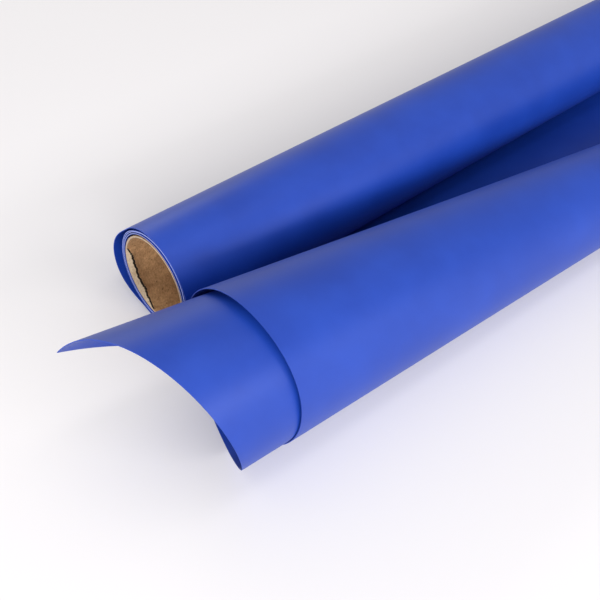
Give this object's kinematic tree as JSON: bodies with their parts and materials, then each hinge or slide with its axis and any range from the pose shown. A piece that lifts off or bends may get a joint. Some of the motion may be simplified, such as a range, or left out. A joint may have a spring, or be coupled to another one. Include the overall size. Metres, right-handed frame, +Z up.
{
  "type": "backdrop paper roll",
  "caption": "Sheet of backdrop paper wound on a cardboard core, its last turn slack and its free end run out along the floor into a loose conical scroll.",
  "frame": {"origin": "middle of the core's bore, on its axis", "axes": "+X along the core, +Y away from the scroll, +Z up from the floor"},
  "size_m": [0.681, 0.1879, 0.0865],
  "materials": {
    "backdrop_sheet": "satin coated",
    "kraft_liner": "raw",
    "core_board": "raw"
  },
  "bodies": {
    "free_sheet": {"loose_outer_turn": "backdrop_sheet", "floor_span": "backdrop_sheet"},
    "wound_roll": {"wound_turns": "backdrop_sheet"},
    "core": {"core_liner_ply": "kraft_liner", "core_second_ply": "core_board", "core_third_ply": "core_board", "core_outer_ply": "kraft_liner"},
    "scroll": {"scroll_wide_part": "backdrop_sheet", "scroll_narrow_part": "backdrop_sheet"}
  },
  "joints": [
    {"name": "sheet_pull", "type": "slide", "parent": "free_sheet", "child": "scroll", "axis": [0, -1, 0], "range_m": [0, 0.39]},
    {"name": "roll_spin", "type": "hinge", "parent": "free_sheet", "child": "wound_roll", "pos_m": [0, 0, 0], "axis": [1, 0, 0], "range_deg": [-720, 0]},
    {"name": "core_slide", "type": "slide", "parent": "wound_roll", "child": "core", "axis": [1, 0, 0], "range_m": [0, 0.62]}
  ],
  "couplings": [
    {"joint": "roll_spin", "follows": "sheet_pull", "rad_per_m": -32.12}
  ]
}
